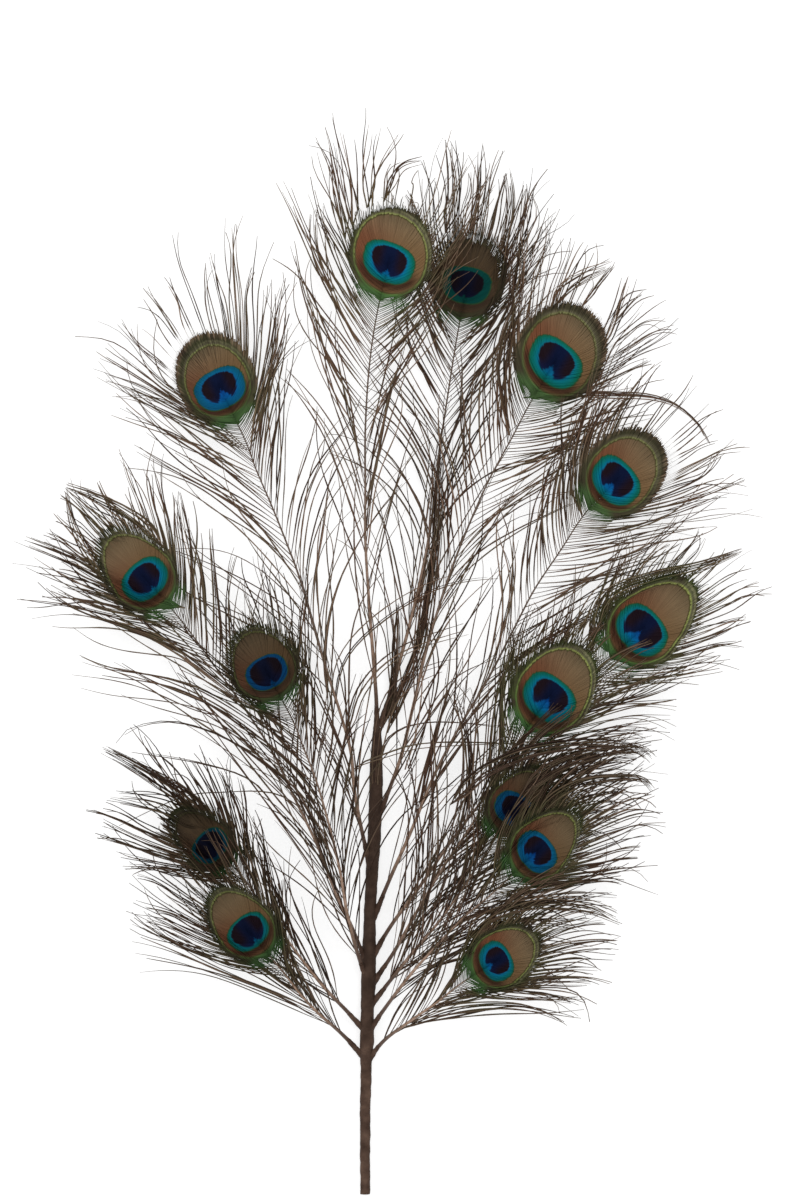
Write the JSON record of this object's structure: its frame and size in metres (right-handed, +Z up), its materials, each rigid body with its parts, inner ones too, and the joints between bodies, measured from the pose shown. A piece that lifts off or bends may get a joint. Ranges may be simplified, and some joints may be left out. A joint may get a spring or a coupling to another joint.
{
  "type": "peacock feather spray",
  "caption": "Lying spray of peacock eye feathers, their quills bound with brown tape to one straight stem, with loose open vanes and round iridescent eyes.",
  "frame": {"origin": "under the middle of the spray's outline, on the surface that it lies on", "axes": "+Y up the stem from its cut end to the top feather, +X to the right as seen from above, +Z up from the surface"},
  "size_m": [0.41, 0.6004, 0.0428],
  "materials": {
    "tape": "matt wound crepe tape",
    "feather": "soft feather with a silky iridescent sheen"
  },
  "bodies": {
    "root": {"stem": "tape", "feather_top": "feather", "feather_right_1": "feather", "feather_right_2": "feather", "feather_right_3": "feather", "feather_right_4": "feather", "feather_right_5": "feather", "feather_right_6": "feather", "feather_right_7": "feather", "feather_right_8": "feather", "feather_left_1": "feather", "feather_left_2": "feather", "feather_left_3": "feather", "feather_left_4": "feather", "feather_left_5": "feather"}
  },
  "joints": []
}
